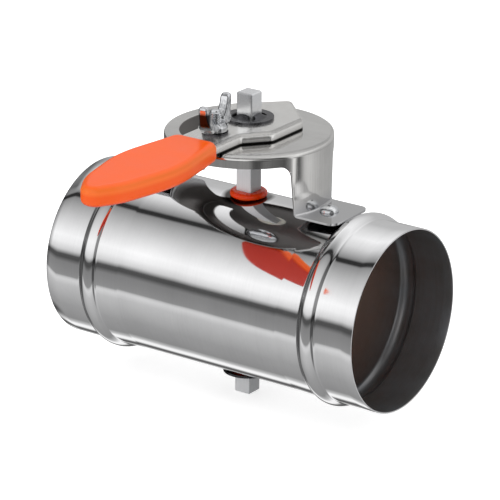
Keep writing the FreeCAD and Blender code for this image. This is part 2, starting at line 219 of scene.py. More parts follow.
def shadesOf(tree, grain, finish):
    # the grain's middle is stretched over the finish's two colours and its range of roughness
    low, high = finish["roughness"]
    rough = addNode(tree, "ShaderNodeMapRange", {**noise["middle"], "To Min": low, "To Max": high},
                    {"Value": grain})
    share = addNode(tree, "ShaderNodeMapRange", noise["middle"], {"Value": grain})
    color = addNode(tree, "ShaderNodeMix", {
        "data_type": "RGBA", 6: linearColor(finish["dark"]), 7: linearColor(finish["light"])},
        {0: share.outputs["Result"]})
    return color.outputs[2], rough.outputs["Result"]


def layerOver(tree, place, color, layer):
    # the colour goes over into another one along an axis, which is Z where none is named
    parts = addNode(tree, "ShaderNodeSeparateXYZ", links={0: place})
    share = addNode(tree, "ShaderNodeMapRange", {"From Min": layer["from"], "From Max": layer["to"]},
                    {"Value": parts.outputs[layer.get("axis", "Z")]})
    return addNode(tree, "ShaderNodeMix", {"data_type": "RGBA", 7: linearColor(layer["color"])},
                   {0: share.outputs["Result"], 6: color}).outputs[2]


def distanceOut(tree, place, axis):
    # how far a point lies from an upright axis
    aside = addNode(tree, "ShaderNodeVectorMath", {"operation": "SUBTRACT", 1: axis}, {0: place})
    flat = addNode(tree, "ShaderNodeVectorMath", {"operation": "MULTIPLY", 1: (1, 1, 0)},
                   {0: aside.outputs[0]})
    return addNode(tree, "ShaderNodeVectorMath", {"operation": "LENGTH"},
                   {0: flat.outputs[0]}).outputs["Value"]


def paintShadeUnder(tree, place, color, rough, underShade):
    # below a height and within a radius of the shaft, the sheet is rougher, and darker as painted shade
    parts = addNode(tree, "ShaderNodeSeparateXYZ", links={0: place})
    within = addNode(tree, "ShaderNodeMath", {"operation": "LESS_THAN", 1: underShade["radius"]},
                     {0: distanceOut(tree, place, (0, 0, 0))})
    under = addNode(tree, "ShaderNodeMath", {"operation": "LESS_THAN", 1: underShade["height"]},
                    {0: parts.outputs["Z"]})
    both = addNode(tree, "ShaderNodeMath", {"operation": "MULTIPLY"},
                   {0: within.outputs[0], 1: under.outputs[0]})
    shadedTone = addNode(tree, "ShaderNodeMix", {"data_type": "RGBA", 7: linearColor(underShade["color"])},
                   {0: both.outputs[0], 6: color})
    coarse = addNode(tree, "ShaderNodeMix", {3: underShade["roughness"]}, {0: both.outputs[0], 2: rough})
    return shadedTone.outputs[2], coarse.outputs[0]


def paintShadeRound(tree, place, color, paintedShade):
    # painted shade: the colour goes over into the shade's colour with the distance from an upright axis
    share = addNode(tree, "ShaderNodeMapRange", {"From Min": paintedShade["clear"], "From Max": paintedShade["full"]},
                    {"Value": distanceOut(tree, place, paintedShade["axis"])})
    return addNode(tree, "ShaderNodeMix", {"data_type": "RGBA", 7: linearColor(paintedShade["color"])},
                   {0: share.outputs["Result"], 6: color}).outputs[2]


def paintShadeSide(tree, place, color, shadedSide):
    # painted shade: the bar's side towards +X is darker below the plate
    parts = addNode(tree, "ShaderNodeSeparateXYZ", links={0: place})
    beyond = addNode(tree, "ShaderNodeMath", {"operation": "GREATER_THAN", 1: shadedSide["side"]},
                     {0: parts.outputs["X"]})
    under = addNode(tree, "ShaderNodeMath", {"operation": "LESS_THAN", 1: shadedSide["height"]},
                    {0: parts.outputs["Z"]})
    both = addNode(tree, "ShaderNodeMath", {"operation": "MULTIPLY"},
                   {0: beyond.outputs[0], 1: under.outputs[0]})
    return addNode(tree, "ShaderNodeMix", {"data_type": "RGBA", 7: linearColor(shadedSide["color"])},
                   {0: both.outputs[0], 6: color}).outputs[2]


def mattPart(tree, place, matt):
    # the share of metal goes down below a height, where the bar is etched and pale
    parts = addNode(tree, "ShaderNodeSeparateXYZ", links={0: place})
    return addNode(tree, "ShaderNodeMapRange", {
        "From Min": matt["low"], "From Max": matt["high"],
        "To Min": matt["metal"], "To Max": matt["top"]},
        {"Value": parts.outputs["Z"]}).outputs["Result"]


def rollEdge(tree, place, below, edge):
    # the side leans in towards the top, as the rolled edge of a pressing does
    parts = addNode(tree, "ShaderNodeSeparateXYZ", links={0: place})
    rise = addNode(tree, "ShaderNodeMapRange", {"From Min": edge["start"], "From Max": edge["top"]},
                   {"Value": parts.outputs["Z"]})
    fall = addNode(tree, "ShaderNodeMath", {"operation": "POWER", 1: 2.0}, {0: rise.outputs["Result"]})
    return addNode(tree, "ShaderNodeBump", {"Distance": edge["lean"], "Strength": 1.0, "invert": True},
                   {"Height": fall.outputs[0], "Normal": below}).outputs["Normal"]


def rolledMetal(name, finish):
    # sheet or bar with rolling grain: fine lines, soft cloudy patches and slight waves
    material, tree, shader, place = startMaterial(name, {"Metallic": finish.get("metal", 1.0)})
    if "mattBelow" in finish:
        tree.links.new(mattPart(tree, place, finish["mattBelow"]), shader.inputs["Metallic"])
    lines = grainOf(tree, place, finish["grain"], noise["lineDetail"])
    clouds = grainOf(tree, place, [finish["cloud"]] * 3, noise["cloudDetail"])
    waves = grainOf(tree, place, [finish["wave"]] * 3, noise["waveDetail"])
    share = finish["cloudShare"]
    linesPart = addNode(tree, "ShaderNodeMath", {"operation": "MULTIPLY", 1: 1 - share}, {0: lines})
    mixed = addNode(tree, "ShaderNodeMath", {"operation": "MULTIPLY_ADD", 1: share},
                    {0: clouds, 2: linesPart.outputs[0]})
    color, rough = shadesOf(tree, mixed.outputs[0], finish)
    if "underShade" in finish:
        color, rough = paintShadeUnder(tree, place, color, rough, finish["underShade"])
    if "paintedShade" in finish:
        color = paintShadeRound(tree, place, color, finish["paintedShade"])
    if "shadedSide" in finish:
        color = paintShadeSide(tree, place, color, finish["shadedSide"])
    for layer in finish.get("layers", ()):
        color = layerOver(tree, place, color, layer)
    wavy = addNode(tree, "ShaderNodeBump", {"Distance": finish["waveHeight"], "Strength": 1.0},
                   {"Height": waves}).outputs["Normal"]
    if "edge" in finish:
        wavy = rollEdge(tree, place, wavy, finish["edge"])
    lined = addNode(tree, "ShaderNodeBump", {"Distance": finish["lineHeight"], "Strength": 1.0},
                    {"Height": lines, "Normal": wavy})
    tree.links.new(color, shader.inputs["Base Color"])
    tree.links.new(rough, shader.inputs["Roughness"])
    tree.links.new(lined.outputs["Normal"], shader.inputs["Normal"])
    return material


# Sizes are real ones. Rolling lines and tool texture are finer on the real pieces, and are drawn
# this coarse so that they show.

# Stainless sheet, bright annealed and rolled: close to a mirror, with faint rings round the tube,
# and painted shade round the shaft's hole, under the bush
brightSheet = {
    "dark": "E9E9EA", "light": "F6F6F7", "roughness": (0.03, 0.075),
    "grain": (0.45 * mm, 40 * mm, 40 * mm), "cloud": 26 * mm, "cloudShare": 0.7,
    "wave": 30 * mm, "waveHeight": 0.10 * mm, "lineHeight": 0.00025 * mm,
    "paintedShade": {"axis": (0, 0, 0), "clear": 15.0 * mm, "full": 12.2 * mm, "color": "3E3A38"},
}
# The same sheet inside the tube, rougher and darker as painted shade: grey at the mouth and browner
# inwards
shadedInnerSheet = {
    "dark": "827D7A", "light": "94979C", "roughness": (0.30, 0.40), "metal": 0.8,
    "layers": ({"axis": "X", "from": 66.0 * mm, "to": 36.0 * mm, "color": "D8C1B3"},),
    "grain": (0.5 * mm, 40 * mm, 40 * mm), "cloud": 18 * mm, "cloudShare": 0.6,
    "wave": 24 * mm, "waveHeight": 0.05 * mm, "lineHeight": 0.0006 * mm,
}
# Stainless sheet with a 2B mill finish, folded: satin, with the grain along X and down the legs,
# a rougher underside that is darker as painted shade, and slightly greyer feet
millSheet = {
    "dark": "D4D3D1", "light": "E8E7E5", "roughness": (0.07, 0.13),
    "underShade": {"color": "858280", "roughness": 0.42, "radius": 44.9 * mm, "height": 86.4 * mm},
    "edge": {"start": 83.6 * mm, "top": 87.0 * mm, "lean": 3.0 * mm},
    "layers": ({"from": 60.0 * mm, "to": 54.0 * mm, "color": "CBCBCC"},),
    "grain": (40 * mm, 0.5 * mm, 40 * mm), "cloud": 14 * mm, "cloudShare": 0.45,
    "wave": 16 * mm, "waveHeight": 0.06 * mm, "lineHeight": 0.0018 * mm,
}
# Pressed lever, brushed lengthways after pressing
brushedPressing = {
    "dark": "E0DEDB", "light": "F3F2F0", "roughness": (0.16, 0.26),
    "edge": {"start": 88.4 * mm, "top": 93.0 * mm, "lean": 4.2 * mm}, "metal": 0.9,
    # its lower edge lies in shade
    "layers": ({"from": 88.3 * mm, "to": 87.8 * mm, "color": "232220"},),
    "grain": (0.4 * mm, 30 * mm, 30 * mm), "cloud": 11 * mm, "cloudShare": 0.4,
    "wave": 3 * mm, "waveHeight": 0.10 * mm, "lineHeight": 0.0008 * mm,
}
# Drawn aluminium bar: pale and matt, with die lines along the shaft and painted shade on one side below
# the plate
drawnBar = {
    "dark": "EDEEF0", "light": "F6F7F9", "roughness": (0.16, 0.24),
    "mattBelow": {"low": 86.0 * mm, "high": 92.0 * mm, "metal": 0.06, "top": 0.86},
    "shadedSide": {"side": 4.7 * mm, "height": 86.0 * mm, "color": "B4B5B7"},
    "grain": (0.35 * mm, 0.35 * mm, 60 * mm), "cloud": 8 * mm, "cloudShare": 0.4,
    "wave": 12 * mm, "waveHeight": 0.01 * mm, "lineHeight": 0.0012 * mm,
}
# Steel with bright zinc plate: hard highlights with a little orange peel
zincPlate = {
    "dark": "C6C9CD", "light": "FAFBFC", "roughness": (0.05, 0.12),
    "grain": (0.5 * mm, 0.5 * mm, 0.5 * mm), "cloud": 3 * mm, "cloudShare": 0.6,
    "wave": 1.8 * mm, "waveHeight": 0.10 * mm, "lineHeight": 0.002 * mm,
}
# The wing nut's zinc plate lies on a rough casting, so what it mirrors breaks up; painted shade
# darkens the outer ends of the wings, and a painted highlight makes their tips paler
castZinc = {
    "dark": "8E9094", "light": "FAFBFC", "roughness": (0.06, 0.15),
    "paintedShade": {"axis": (0, -31.0 * mm, 0), "clear": 12.2 * mm, "full": 13.6 * mm, "color": "343437"},
    "layers": ({"from": 106.6 * mm, "to": 108.4 * mm, "color": "E6E7EA"},),
    "grain": (0.7 * mm, 0.7 * mm, 6.0 * mm), "cloud": 3 * mm, "cloudShare": 0.4,
    "wave": 2.6 * mm, "waveHeight": 0.16 * mm, "lineHeight": 0.006 * mm,
}
# Spring steel, blackened in oil: dark satin with a faint grain
blackenedSpring = {
    "dark": "48484A", "light": "606064", "roughness": (0.22, 0.32),
    "grain": (0.4 * mm, 0.4 * mm, 0.4 * mm), "cloud": 4 * mm, "cloudShare": 0.6,
    "wave": 5 * mm, "waveHeight": 0.02 * mm, "lineHeight": 0.004 * mm,
}


def mouldedRubber(name, finish):
    # moulded soft part: fine even texture from the tool, with slight shade changes
    material, tree, shader, place = startMaterial(name, {
        "Metallic": 0.0, "IOR": finish["ior"], "Subsurface Weight": finish["glow"],
        "Subsurface Scale": finish["depth"], "Subsurface Radius": finish["reach"]})
    texture = grainOf(tree, place, [finish["texture"]] * 3, noise["textureDetail"])
    clouds = grainOf(tree, place, [finish["cloud"]] * 3, noise["cloudDetail"])
    color, rough = shadesOf(tree, clouds, finish)
    for layer in finish.get("layers", ()):
        color = layerOver(tree, place, color, layer)
    soft = addNode(tree, "ShaderNodeBump", {"Distance": finish["waveHeight"], "Strength": 1.0},
                   {"Height": clouds})
    fine = addNode(tree, "ShaderNodeBump", {"Distance": finish["textureHeight"], "Strength": 1.0},
                   {"Height": texture, "Normal": soft.outputs["Normal"]})
    tree.links.new(color, shader.inputs["Base Color"])
    tree.links.new(rough, shader.inputs["Roughness"])
    tree.links.new(fine.outputs["Normal"], shader.inputs["Normal"])
    return material


# Grip of thermoplastic rubber, moulded over the tang: bright orange and satin, with painted shade under
# the rounded top edge, a painted highlight along the side, and painted shade underneath, darker and
# redder
orangeRubber = {
    "dark": "FC5C03", "light": "FF6107", "roughness": (0.28, 0.38), "ior": 1.5,
    # painted shade under the top edge, a painted highlight band, the side's own orange, then painted
    # shade underneath
    "layers": ({"from": 94.8 * mm, "to": 93.2 * mm, "color": "F26C12"},
               {"from": 92.9 * mm, "to": 91.5 * mm, "color": "FF7424"},
               {"from": 91.3 * mm, "to": 89.4 * mm, "color": "FF5E08"},
               {"from": 85.6 * mm, "to": 83.9 * mm, "color": "D42A0C"}),
    "glow": 0.08, "depth": 2.0 * mm, "reach": (1.0, 0.35, 0.1),
    "texture": 0.5 * mm, "textureHeight": 0.012 * mm, "cloud": 14 * mm, "waveHeight": 0.05 * mm,
}
# Bushes and blade seal of moulded silicone: deep red, a little glossy
redSilicone = {
    "dark": "FF3804", "light": "FF5010", "roughness": (0.24, 0.34), "ior": 1.43,
    "glow": 0.1, "depth": 1.5 * mm, "reach": (1.0, 0.2, 0.1),
    "texture": 0.4 * mm, "textureHeight": 0.008 * mm, "cloud": 5 * mm, "waveHeight": 0.03 * mm,
}
# Spacer of natural nylon, moulded: milky and matt
naturalNylon = {
    "dark": "DDD9CC", "light": "EAE7DC", "roughness": (0.42, 0.52), "ior": 1.53,
    "glow": 0.15, "depth": 2.0 * mm, "reach": (1.0, 0.8, 0.6),
    "texture": 0.4 * mm, "textureHeight": 0.006 * mm, "cloud": 6 * mm, "waveHeight": 0.01 * mm,
}

brightStainless = rolledMetal("brightStainless", brightSheet)
shadedInnerStainless = rolledMetal("shadedInnerStainless", shadedInnerSheet)
millStainless = rolledMetal("millStainless", millSheet)
brushedStainless = rolledMetal("brushedStainless", brushedPressing)
drawnAluminium = rolledMetal("drawnAluminium", drawnBar)
zincPlatedSteel = rolledMetal("zincPlatedSteel", zincPlate)
zincPlatedCasting = rolledMetal("zincPlatedCasting", castZinc)
blackSpringSteel = rolledMetal("blackSpringSteel", blackenedSpring)
mouldedGrip = mouldedRubber("mouldedGrip", orangeRubber)
mouldedSilicone = mouldedRubber("mouldedSilicone", redSilicone)
mouldedNylon = mouldedRubber("mouldedNylon", naturalNylon)
print("materials made")


# Duct tube: one line of the beaded skin, spun round the duct's axis and given its wall
ductTube = {
    "spigotRadius": 50.0 * mm,
    "bodyRadius": 49.5 * mm,
    "wall": 0.8 * mm,
    "beadInset": 28.4 * mm,
    "beadHalfWidth": 5.2 * mm,
    "beadFillet": 1.6 * mm,
    "bandLength": 13.8 * mm,
    "crease": 0.5 * mm,        # support on both sides of a slight fold, so that it reflects crisply
    "bodyRows": (0.12, 0.24, 0.4, 0.6, 0.8),   # shares of half the body, from its middle
    "spigotRows": (0.05, 0.35, 0.7, 1.0),      # shares of a spigot, from its bead
    "beadSteps": 22,
    "filletSteps": 7,
    "bushHole": 7.98 * mm,
    "screwHole": 2.4 * mm,
    "screwHoleCorners": 32,
    "screwX": 52.0 * mm,
    "rimRound": 0.2 * mm,
    "sharpAngle": 60,
    "smoothAngle": 35,
    "steps": 256,
}


def tubeSkin(tube, halfLength, beadTop):
    body, spigot, fillet = tube["bodyRadius"], tube["spigotRadius"], tube["beadFillet"]
    height = beadTop - spigot
    beadX = halfLength - tube["beadInset"]
    radius = (tube["beadHalfWidth"] ** 2 + height ** 2) / (2 * height)
    centre = beadTop - radius
    filletZ = spigot + fillet
    run = math.sqrt((radius + fillet) ** 2 - (filletZ - centre) ** 2)
    tangent = math.degrees(math.atan2(filletZ - centre, run))
    lowX, highX = beadX - run, beadX + run
    bandX = lowX - tube["bandLength"]
    rise = (spigot - body) / tube["bandLength"] * tube["crease"]
    points = [(share * bandX, 0, body) for share in tube["bodyRows"]]
    points.append((bandX - tube["crease"], 0, body))
    points.append((bandX, 0, body))
    points.append((bandX + tube["crease"], 0, body + rise))
    points.append((lowX - tube["crease"], 0, spigot - rise))
    points += arcPoints(lowX, filletZ, fillet, 270, 360 - tangent, tube["filletSteps"])
    points += arcPoints(beadX, centre, radius, 180 - tangent, tangent, tube["beadSteps"])[1:]
    points += arcPoints(highX, filletZ, fillet, 180 + tangent, 270, tube["filletSteps"])[1:]
    points += [(highX + share * (halfLength - highX), 0, spigot) for share in tube["spigotRows"]]
    mirrored = [(-x, y, z) for x, y, z in reversed(points)]
    return mirrored + [(0, 0, body)] + points


def upright(name, radius, low, high, x=0.0, corners=64):
    clearSelection()
    bpy.ops.mesh.primitive_cylinder_add(vertices=corners, radius=radius, depth=high - low,
                                        location=(x, 0, (low + high) / 2))
    return namePiece(name)


def makeDuctTube(tube):
    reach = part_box("duct_tube")[1]
    skin = drawLine("ductTube", tubeSkin(tube, reach.x, reach.z))
    spinLine(skin, (1, 0, 0), (0, 0, 0), tube["steps"])
    skin.data.materials.append(brightStainless)
    skin.data.materials.append(shadedInnerStainless)
    shapeBy(skin, "SOLIDIFY", {"thickness": tube["wall"], "offset": -1.0, "material_offset": 1})
    shapeBy(skin, "BEVEL", {"width": tube["rimRound"], "segments": 2, "limit_method": "ANGLE",
                            "angle_limit": math.radians(tube["sharpAngle"])})
    cutAway(skin, upright("bushHole", tube["bushHole"], -reach.z, reach.z))
    for x in (-tube["screwX"], tube["screwX"]):
        cutAway(skin, upright("screwHole", tube["screwHole"], 0, reach.z, x, tube["screwHoleCorners"]))
    smoothPiece(skin, tube["smoothAngle"])
    finishPiece(skin, "housing", "tube_steel", [], "duct_tube")


makeDuctTube(ductTube)
print("duct tube spun")


# Wing nut: hub and two wings, blended as a casting is
wingNut = {
    "hubRadius": 6.75 * mm,
    "hubTopRadius": 5.2 * mm,
    "hubHeight": 5.0 * mm,
    "baseHeight": 2.6 * mm,
    "hubEdge": 0.5 * mm,
    "hubShoulder": 0.7 * mm,
    "hubSteps": 48,
    "wingThickness": 5.9 * mm,
    "wingRound": 2.2 * mm,
    "roundSteps": 4,
    "sharpAngle": 60,
    "tipFrom": 9.0 * mm,
    "tipShare": 0.92,          # the wing's thickness above that height, as a share
    "footTo": 4.5 * mm,
    "footShare": 1.45,         # and below that height
    # the wing's outline in mm, out from the axis and up from the seat
    "wing": ((1.5, 0.9), (9.8, 0.9), (12.4, 3.6), (14.4, 8.0), (15.6, 12.4), (16.0, 15.6),
             (15.2, 16.9), (13.0, 17.0), (11.2, 15.8), (10.0, 12.2), (8.2, 9.0), (6.2, 6.4),
             (4.4, 4.9), (1.5, 4.8)),
    "turn": 11.0,              # degrees round its bolt
    "hole": 3.4 * mm,
    "holeCorners": 48,
    "voxel": 0.26 * mm,
    "softenRounds": 9,
    "softenShare": 0.5,
    "smoothAngle": 50,
}


def makeWing(nut, side):
    outline = [(0, side * out * mm, up * mm) for out, up in nut["wing"]]
    wing = drawLine("wing", outline)
    pick(wing)
    bpy.ops.object.mode_set(mode="EDIT")
    bpy.ops.mesh.select_all(action="SELECT")
    bpy.ops.mesh.edge_face_add()
    bpy.ops.object.mode_set(mode="OBJECT")
    shapeBy(wing, "SOLIDIFY", {"thickness": nut["wingThickness"], "offset": 0.0})
    pick(wing)
    bpy.ops.object.mode_set(mode="EDIT")
    bpy.ops.mesh.normals_make_consistent(inside=False)
    bpy.ops.object.mode_set(mode="OBJECT")
    shapeBy(wing, "BEVEL", {"width": nut["wingRound"], "segments": nut["roundSteps"],
                            "limit_method": "ANGLE", "angle_limit": math.radians(nut["sharpAngle"])})
    tip = (nut["tipFrom"], math.inf, nut["tipShare"])
    foot = (0, nut["footTo"], nut["footShare"])
    for low, high, share in (tip, foot):
        for vertex in wing.data.vertices:
            vertex.select = low < vertex.co.z < high
        bpy.ops.object.mode_set(mode="EDIT")
        bpy.ops.transform.resize(value=(share, 1, 1), center_override=(0, 0, 0))
        bpy.ops.mesh.select_all(action="DESELECT")
        bpy.ops.object.mode_set(mode="OBJECT")
    return wing


def makeWingNut(nut):
    seat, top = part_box("wing_nut")
    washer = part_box("clamp_washer")
    centre = (washer[0] + washer[1]) / 2
    radius, base, edge = nut["hubRadius"], nut["baseHeight"], nut["hubEdge"]
    hub = drawLine("wingNut", [
        (0, 0, 0), (radius - edge, 0, 0), (radius, 0, edge), (radius, 0, base),
        (radius - nut["hubShoulder"], 0, base + edge), (nut["hubTopRadius"], 0, nut["hubHeight"]),
        (0, 0, nut["hubHeight"])])
    spinLine(hub, (0, 0, 1), (0, 0, 0), nut["hubSteps"])
    wings = [makeWing(nut, side) for side in (-1, 1)]
    joinPieces(hub, *wings)
    shapeBy(hub, "REMESH", {"mode": "VOXEL", "voxel_size": nut["voxel"]})
    shapeBy(hub, "SMOOTH", {"factor": nut["softenShare"], "iterations": nut["softenRounds"]})
    cutAway(hub, upright("threadHole", nut["hole"], -mm, top.z - seat.z, corners=nut["holeCorners"]))
    pick(hub)
    hub.rotation_euler.z = math.radians(nut["turn"])
    hub.location = (centre.x, centre.y, seat.z)
    applyPlace(hub)
    smoothPiece(hub, nut["smoothAngle"])
    finishPiece(hub, "nut", "plated_fastener", [zincPlatedCasting], "wing_nut")


makeWingNut(wingNut)
print("wing nut cast")


# Screw threads: one turn of the thread's line, wound up the rod
threadForm = {
    # share of the pitch, and 0 at the root or 1 at the crest
    "line": ((0.0, 0), (0.12, 0), (0.45, 1), (0.6, 1), (0.93, 0), (1.0, 0)),
    "seam": 0.01 * mm,         # neighbouring turns join where they come this close
    "doubles": 0.005 * mm,
}


def windThread(name, radius, root, pitch, low, turns, steps):
    line = drawLine(name, [(radius if crest else root, 0, low + share * pitch)
                           for share, crest in threadForm["line"]])
    shapeBy(line, "SCREW", {
        "angle": 2 * math.pi, "screw_offset": pitch, "iterations": turns, "steps": steps,
        "render_steps": steps, "use_merge_vertices": True, "merge_threshold": threadForm["seam"],
        "use_smooth_shade": True})
    pick(line)
    bpy.ops.object.mode_set(mode="EDIT")
    bpy.ops.mesh.select_all(action="SELECT")
    bpy.ops.mesh.remove_doubles(threshold=threadForm["doubles"])
    bpy.ops.mesh.fill_holes(sides=0)
    bpy.ops.mesh.normals_make_consistent(inside=False)
    bpy.ops.object.mode_set(mode="OBJECT")
    return line


# Clamp bolt: mushroom head under the plate, square neck, M6 thread with a domed end
clampBolt = {
    "threadRadius": 3.33 * mm,
    "threadRoot": 2.6 * mm,
    "pitch": 1.25 * mm,
    "threadSteps": 40,
    "square": 6.8 * mm,
    "neckGap": 0.1 * mm,
    "neckRound": 0.35 * mm,
    "headRadius": 10.0 * mm,
    "headHeight": 3.0 * mm,
    # share of the head's radius, and height above its lowest point in mm
    "headLine": ((0, 0), (0.45, 0.25), (0.75, 0.9), (0.93, 1.6), (1, 2.2)),
    "headEdge": 0.2 * mm,
    "headSteps": 64,
    "dome": 0.9 * mm,
    "coreBelow": 1.0 * mm,     # how far the core goes down past the lever's top
    # share of the root's radius, and depth below the bolt's end in mm
    "endLine": ((1, 0.7), (0.9, 0.3), (0.6, 0.08)),
    "endSteps": 40,
    "smoothAngle": 40,
}


def makeClampBolt(bolt):
    low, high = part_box("clamp_bolt")
    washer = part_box("clamp_washer")
    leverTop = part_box("push_washer_top")[0].z
    centre = (washer[0] + washer[1]) / 2
    headTop = low.z + bolt["headHeight"]
    radius, root, edge = bolt["headRadius"], bolt["threadRoot"], bolt["headEdge"]
    head = drawLine("clampBolt", [
        (share * radius, 0, low.z + up * mm) for share, up in bolt["headLine"]] + [
        (radius, 0, headTop - edge), (radius - edge, 0, headTop), (0, 0, headTop)])
    spinLine(head, (0, 0, 1), (0, 0, 0), bolt["headSteps"])
    clearSelection()
    bpy.ops.mesh.primitive_cube_add(size=1.0, location=(0, 0, (headTop + leverTop) / 2))
    neck = namePiece("boltNeck")
    neck.scale = (bolt["square"], bolt["square"], leverTop - headTop - bolt["neckGap"])
    applyPlace(neck)
    shapeBy(neck, "BEVEL", {"width": bolt["neckRound"], "segments": 2})
    turns = int((high.z - bolt["dome"] - leverTop) / bolt["pitch"])
    threadLow = high.z - bolt["dome"] - (turns + 1) * bolt["pitch"]
    thread = windThread("boltThread", bolt["threadRadius"], root, bolt["pitch"], threadLow, turns,
                        bolt["threadSteps"])
    coreLow = leverTop - bolt["coreBelow"]
    end = drawLine("boltEnd", [(0, 0, coreLow), (root, 0, coreLow)] + [
        (share * root, 0, high.z - down * mm) for share, down in bolt["endLine"]] + [(0, 0, high.z)])
    spinLine(end, (0, 0, 1), (0, 0, 0), bolt["endSteps"])
    joinPieces(head, neck, thread, end)
    head.location = (centre.x, centre.y, 0)
    applyPlace(head)
    smoothPiece(head, bolt["smoothAngle"])
    finishPiece(head, "handle", "plated_fastener", [zincPlatedSteel], "clamp_bolt")


makeClampBolt(clampBolt)
print("clamp bolt threaded")


# Bracket screws: pan heads with a cross recess, and a self-tapping thread
panScrew = {
    "headRadius": 5.3 * mm,
    "headHeight": 3.0 * mm,
    "rim": 0.5 * mm,
    "seatEdge": 0.15 * mm,
    # the dome's line, as shares of the head's radius and height
    "dome": ((0.95, 0.40), (0.86, 0.59), (0.74, 0.75), (0.59, 0.87), (0.41, 0.95), (0.21, 0.99), (0, 1)),
    "headSteps": 64,
    "recessSpan": 5.4 * mm,
    "recessWidth": 1.1 * mm,
    "recessDepth": 1.7 * mm,
    "recessTaper": 0.45,
    "recessAbove": 1.0 * mm,   # how far the cutter stands out above the head
    "edgeRound": 0.12 * mm,
    "sharpAngle": 40,
    "smoothAngle": 40,
    "threadRadius": 2.36 * mm,
    "threadRoot": 1.75 * mm,
    "threadSteps": 28,
    "pitch": 1.4 * mm,
    "point": 3.0 * mm,
    "tip": 0.3 * mm,
    "overlap": 0.2 * mm,       # how far the shank, the thread and the head go into each other
    "shankSteps": 32,
    "turns": {"left": 20, "right": 50},        # degrees
}


def cutRecess(head, screw):
    height, depth, above = screw["headHeight"], screw["recessDepth"], screw["recessAbove"]
    span, width, taper = screw["recessSpan"], screw["recessWidth"], screw["recessTaper"]
    middle = height + (above - depth) / 2
    for along, across in ((span, width), (width, span)):
        clearSelection()
        bpy.ops.mesh.primitive_cube_add(size=1.0, location=(0, 0, middle))
        cutter = namePiece("recess")
        # the cutter's black steel goes onto the recess's walls: painted shade in the recess
        cutter.data.materials.append(blackSpringSteel)
        cutter.scale = (along, across, depth + above)
        applyPlace(cutter)
        for vertex in cutter.data.vertices:
            vertex.select = vertex.co.z < middle
        pick(cutter)
        bpy.ops.object.mode_set(mode="EDIT")
        bpy.ops.transform.resize(value=(taper, taper, 1), center_override=(0, 0, 0))
        cutAway(head, cutter)


def makePanScrew(screw):
    # made at the origin, with its seat at height 0
    low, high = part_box("bracket_screw_right")
    radius, height, root = screw["headRadius"], screw["headHeight"], screw["threadRoot"]
    edge, overlap = screw["seatEdge"], screw["overlap"]
    seat = high.z - height
    length = seat - low.z
    head = drawLine("panScrew", [
        (0, 0, 0), (radius - edge, 0, 0), (radius, 0, edge), (radius, 0, screw["rim"])] + [
        (out * radius, 0, up * height) for out, up in screw["dome"]])
    spinLine(head, (0, 0, 1), (0, 0, 0), screw["headSteps"])
    head.data.materials.append(zincPlatedSteel)
    # this black steel slot holds the recess's painted shade
    head.data.materials.append(blackSpringSteel)
    cutRecess(head, screw)
    shapeBy(head, "BEVEL", {"width": screw["edgeRound"], "segments": 2, "limit_method": "ANGLE",
                            "angle_limit": math.radians(screw["sharpAngle"])})
    pointTop = screw["point"] - length
    shank = drawLine("shank", [
        (0, 0, -length), (screw["tip"], 0, screw["tip"] - length), (root, 0, pointTop),
        (root, 0, overlap), (0, 0, overlap)])
    spinLine(shank, (0, 0, 1), (0, 0, 0), screw["shankSteps"])
    turns = int((length - screw["point"]) / screw["pitch"])
    thread = windThread("tapThread", screw["threadRadius"], root, screw["pitch"],
                        pointTop - overlap, turns - 1, screw["threadSteps"])
    joinPieces(head, shank, thread)
    return head, seat


def placePanScrews(screw):
    model, seat = makePanScrew(screw)
    for side, turn in screw["turns"].items():
        low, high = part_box("bracket_screw_" + side)
        middle = (low + high) / 2
        piece = model.copy()
        piece.data = model.data.copy()
        piece.name = "bracketScrew" + side.title()
        bpy.context.scene.collection.objects.link(piece)
        piece.location = (middle.x, middle.y, seat)
        piece.rotation_euler.z = math.radians(turn)
        applyPlace(piece)
        smoothPiece(piece, screw["smoothAngle"])
        finishPiece(piece, "housing", "plated_fastener", [], "bracket_screw_" + side)
    bpy.data.objects.remove(model)


placePanScrews(panScrew)
print("bracket screws placed")


# CAD nodes whose shape is right keep it and take the real finish
dress(millStainless, "bracket", "blade_plate_front", "blade_plate_back")
dress(brushedStainless, "lever")
dress(drawnAluminium, "shaft")
# the clamp washer is made black too, as painted shade under the wing nut
dress(blackSpringSteel, "push_washer_top", "push_washer_bottom", "clamp_washer")
dress(mouldedSilicone, "top_seal_bush", "bottom_seal_bush", "blade_seal_near", "blade_seal_far")
dress(mouldedGrip, "grip")
dress(mouldedNylon, "lever_spacer")
dress(zincPlatedSteel, "blade_rivet_1", "blade_rivet_2", "blade_rivet_3", "blade_rivet_4",
      "blade_bolt_lower", "blade_bolt_upper", "blade_nut_lower", "blade_nut_upper")
print("nodes dressed")


